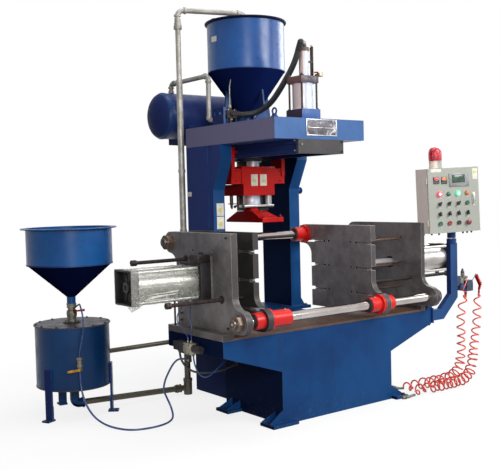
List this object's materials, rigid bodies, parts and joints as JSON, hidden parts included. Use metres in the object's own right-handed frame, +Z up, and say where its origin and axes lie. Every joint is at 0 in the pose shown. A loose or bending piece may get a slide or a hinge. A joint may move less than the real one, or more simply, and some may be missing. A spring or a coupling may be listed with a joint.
{
  "type": "foundry core shooting machine",
  "caption": "Foundry core shooting machine with opposed clamp cylinders, sliding shooting head, crown hopper, swivel control cabinet and a sand transmitter unit beside it.",
  "frame": {"origin": "floor level below the press cylinder's axis, under the middle of the bed's pedestal", "axes": "+X along the bed to the control cabinet, +Y from the operator's side to the column, +Z up"},
  "size_m": [3.2112, 1.7289, 2.834],
  "materials": {
    "blue_paint": "semi-gloss machine enamel",
    "dark_steel": "machined, dulled",
    "red_paint": "semi-gloss enamel",
    "chrome": "polished",
    "bright_steel": "ground",
    "black_steel": "blackened",
    "galvanized": "galvanized",
    "brown_steel": "rust toned slab",
    "cabinet_paint": "textured enamel",
    "black_plastic": "moulded",
    "red_plastic": "clear dome",
    "black_rubber": "extruded",
    "blue_hose_plastic": "polyurethane tube",
    "red_hose_plastic": "polyurethane tube",
    "brass": "dull",
    "yellow_plastic": "dipped handle"
  },
  "bodies": {
    "machine": {"bed_frame": "blue_paint", "bed_slab": "brown_steel", "platen_pads": "dark_steel", "rear_base": "blue_paint", "column": "blue_paint", "crown_beam": "blue_paint", "crown_fittings": "blue_paint", "head_rails": "blue_paint", "rail_front_plate": "dark_steel", "fixed_platens": "dark_steel", "tie_bars": "chrome", "tie_bar_nuts": "dark_steel", "clamp_cylinder_heads": "black_steel", "clamp_cylinder_barrels": "bright_steel", "ejector_rods": "brown_steel", "press_cylinder": "bright_steel", "press_upper_cylinder": "bright_steel", "hopper_shell": "blue_paint", "hopper_outlet": "galvanized", "hopper_legs": "blue_paint", "sand_pipe": "galvanized", "receiver_shell": "blue_paint", "receiver_ends": "blue_paint", "receiver_brackets": "blue_paint", "air_pipes": "galvanized", "control_arm": "blue_paint", "air_regulator": "blue_paint", "air_gun": "red_paint", "transmitter_hopper": "blue_paint", "transmitter_tank": "blue_paint", "transmitter_ends": "dark_steel", "transmitter_legs": "blue_paint", "transmitter_valves": "brass", "valve_block": "black_steel", "thick_hose": "black_rubber", "black_hose": "black_rubber", "tank_hose": "blue_hose_plastic", "feed_hose": "blue_hose_plastic", "loop_hose": "blue_hose_plastic", "thin_hose_back": "blue_hose_plastic", "thin_hose_front": "blue_hose_plastic", "coiled_hose_left": "red_hose_plastic", "coiled_hose_right": "red_hose_plastic"},
    "left_platen": {"left_moving_platen": "dark_steel", "left_platen_bushes": "red_paint", "left_piston_rod": "chrome", "left_guide_rods": "brown_steel"},
    "right_platen": {"right_moving_platen": "dark_steel", "right_platen_bushes": "red_paint", "right_piston_rod": "chrome", "right_guide_rods": "brown_steel"},
    "shooting_head": {"head_carriage": "red_paint", "head_barrel": "bright_steel", "blow_head": "red_paint"},
    "control_cabinet": {"cabinet_shell": "cabinet_paint", "beacon_dome": "red_plastic"},
    "control_door": {"cabinet_door": "cabinet_paint", "door_buttons": "black_plastic"},
    "inlet_valve_lever": {"inlet_lever": "red_paint"},
    "drain_valve_handle": {"drain_handle": "yellow_plastic"}
  },
  "joints": [
    {"name": "left_platen_slide", "type": "slide", "parent": "machine", "child": "left_platen", "axis": [1, 0, 0], "range_m": [-0.02, 0.36]},
    {"name": "right_platen_slide", "type": "slide", "parent": "machine", "child": "right_platen", "axis": [1, 0, 0], "range_m": [-0.05, 0.32]},
    {"name": "shooting_head_slide", "type": "slide", "parent": "machine", "child": "shooting_head", "axis": [0, 1, 0], "range_m": [-0.62, 0]},
    {"name": "cabinet_swivel", "type": "hinge", "parent": "machine", "child": "control_cabinet", "pos_m": [1.178, -0.305, 1.1], "axis": [0, 0, 1], "range_deg": [-10, 50]},
    {"name": "cabinet_door_hinge", "type": "hinge", "parent": "control_cabinet", "child": "control_door", "pos_m": [0.93912, -0.29144, 1.14379], "axis": [-0.0314, 0.0121, 0.9994], "range_deg": [-90, 0]},
    {"name": "inlet_valve_turn", "type": "hinge", "parent": "machine", "child": "inlet_valve_lever", "pos_m": [-1.356, 0.845, 0.705], "axis": [0, 1, 0], "range_deg": [0, 90]},
    {"name": "drain_valve_turn", "type": "hinge", "parent": "machine", "child": "drain_valve_handle", "pos_m": [-1.431, 0.609, 0.348], "axis": [0, 1, 0], "range_deg": [0, 90]}
  ]
}
